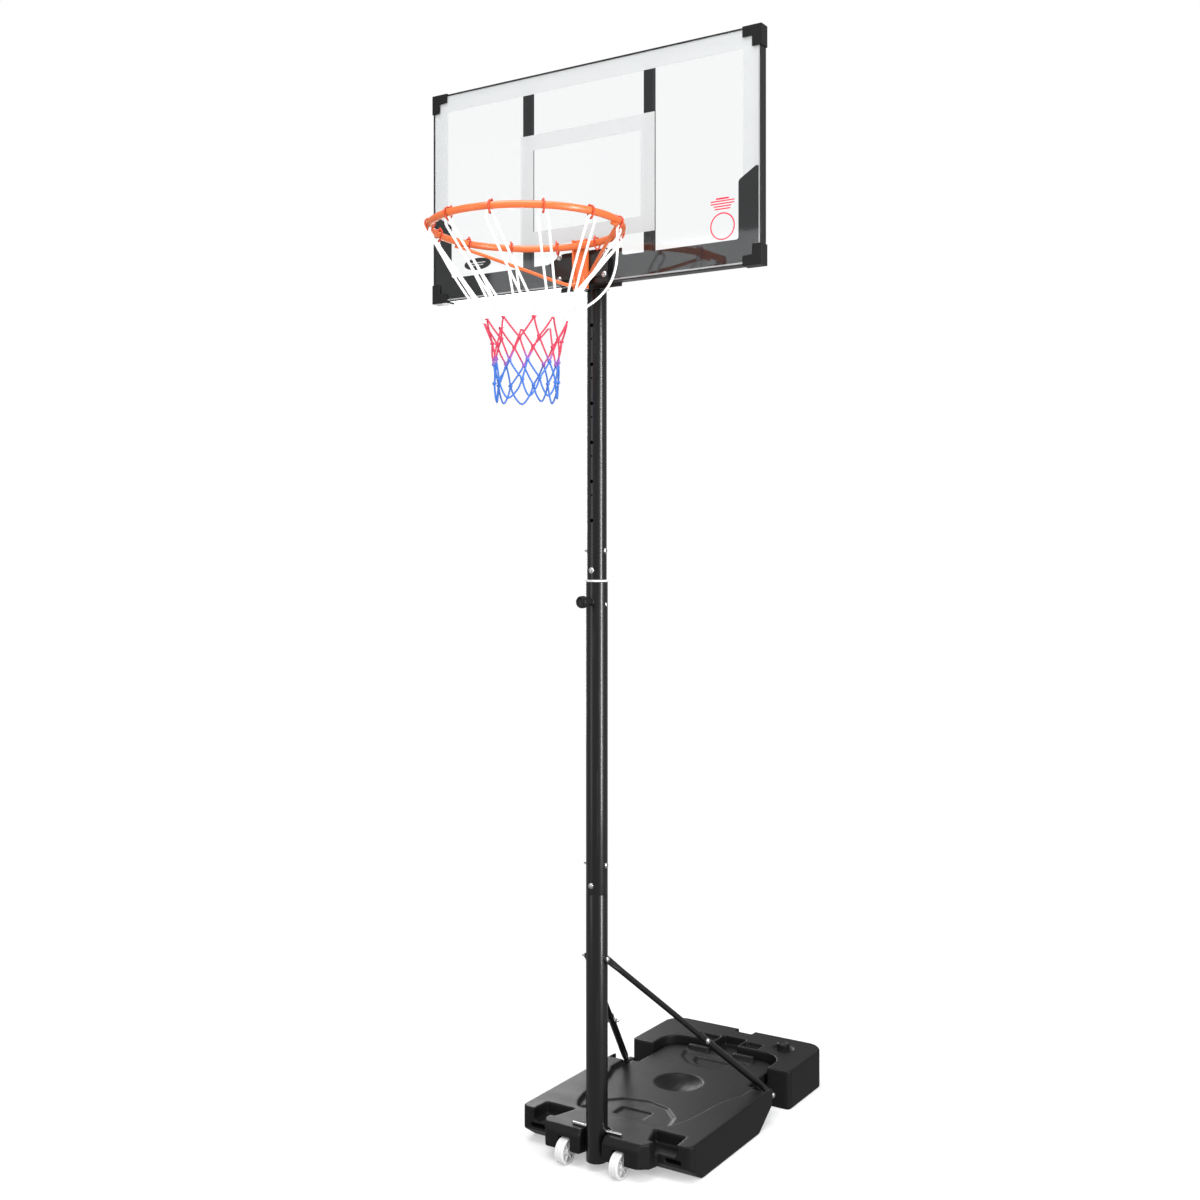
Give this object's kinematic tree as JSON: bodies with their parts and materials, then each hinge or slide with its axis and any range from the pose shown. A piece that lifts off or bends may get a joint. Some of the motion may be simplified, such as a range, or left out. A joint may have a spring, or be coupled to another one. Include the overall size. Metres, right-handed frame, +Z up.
{
  "type": "portable basketball hoop",
  "caption": "Free-standing basketball hoop with a clear framed backboard, a netted rim and a telescoping pole on a wheeled two-tank ballast base.",
  "frame": {"origin": "centre of the whole object's footprint, on the floor", "axes": "+Z up the pole, -Y towards the court, +X to the right seen from the court"},
  "size_m": [1.0272, 1.466, 2.9269],
  "materials": {
    "black_paint": "satin powder coat",
    "tank_plastic": "blow-moulded, fine grain",
    "black_plastic": "moulded, satin",
    "white_plastic": "moulded, satin",
    "bright_steel": "zinc plated, bright",
    "orange_paint": "gloss powder coat",
    "clear_panel": "clear sheet, printed",
    "net_cord": "braided cord",
    "seal_rubber": "matt",
    "water": "stands for water ballast"
  },
  "bodies": {
    "base": {"lower_pole": "black_paint", "middle_pole": "black_paint", "guide_bush": "white_plastic", "lower_guide_bush": "white_plastic", "lock_boss": "black_paint", "pole_joint_bolt_front": "bright_steel", "pole_joint_bolt_side": "bright_steel", "brace_top_bolt": "bright_steel", "lock_rod": "bright_steel", "bush_rivet_right": "bright_steel", "bush_rivet_left": "bright_steel", "front_tank": "tank_plastic", "rear_tank": "tank_plastic", "front_ballast": "water", "rear_ballast": "water", "brace_upper_right": "black_paint", "brace_lower_right": "black_paint", "brace_middle_bolt_right": "bright_steel", "brace_foot_bolt_right": "bright_steel", "wheel_axle_right": "bright_steel", "brace_upper_left": "black_paint", "brace_lower_left": "black_paint", "brace_middle_bolt_left": "bright_steel", "brace_foot_bolt_left": "bright_steel", "wheel_axle_left": "bright_steel"},
    "sliding_top": {"inner_pole": "black_paint", "upper_pole": "black_paint", "upper_joint_bolt_front": "bright_steel", "upper_joint_bolt_side": "bright_steel", "board_panel": "clear_panel", "frame_top": "black_paint", "frame_bottom": "black_paint", "pole_bracket": "black_paint", "mount_plate": "black_paint", "frame_right": "black_paint", "rear_post_right": "black_paint", "corner_cap_top_right": "black_plastic", "corner_cap_bottom_right": "black_plastic", "mount_bolt_low_right": "bright_steel", "mount_bolt_high_right": "bright_steel", "frame_left": "black_paint", "rear_post_left": "black_paint", "corner_cap_top_left": "black_plastic", "corner_cap_bottom_left": "black_plastic", "mount_bolt_low_left": "bright_steel", "mount_bolt_high_left": "bright_steel", "rim_ring": "orange_paint", "rim_bracket": "orange_paint", "net": "net_cord", "rim_strut_right": "orange_paint", "rim_strut_left": "orange_paint", "bracket_bolt_high": "bright_steel", "bracket_bolt_low": "bright_steel"},
    "lock": {"lock_pin": "bright_steel", "lock_knob": "black_plastic"},
    "wheel_left": {"wheel_left": "white_plastic"},
    "wheel_right": {"wheel_right": "white_plastic"},
    "cap_seal": {"cap_gasket": "seal_rubber"},
    "cap": {"filler_cap": "black_plastic"}
  },
  "joints": [
    {"name": "height_slide", "type": "slide", "parent": "base", "child": "sliding_top", "axis": [0, 0, 1], "range_m": [0, 0.6204]},
    {"name": "lock_pull", "type": "slide", "parent": "base", "child": "lock", "axis": [0, -1, 0], "range_m": [0, 0.012], "stiffness_N_per_m": 600},
    {"name": "wheel_left_spin", "type": "hinge", "parent": "base", "child": "wheel_left", "pos_m": [-0.085, -0.187, 0.035], "axis": [1, 0, 0], "continuous": true},
    {"name": "wheel_right_spin", "type": "hinge", "parent": "base", "child": "wheel_right", "pos_m": [0.085, -0.187, 0.035], "axis": [1, 0, 0], "continuous": true},
    {"name": "cap_lift", "type": "slide", "parent": "base", "child": "cap_seal", "axis": [0, 0, 1], "range_m": [0, 0.009]},
    {"name": "cap_turn", "type": "hinge", "parent": "cap_seal", "child": "cap", "pos_m": [0.167, 0.643, 0.11], "axis": [0, 0, 1], "range_deg": [0, 1080]}
  ],
  "couplings": [
    {"joint": "cap_lift", "follows": "cap_turn", "m_per_rad": 0.000477}
  ]
}
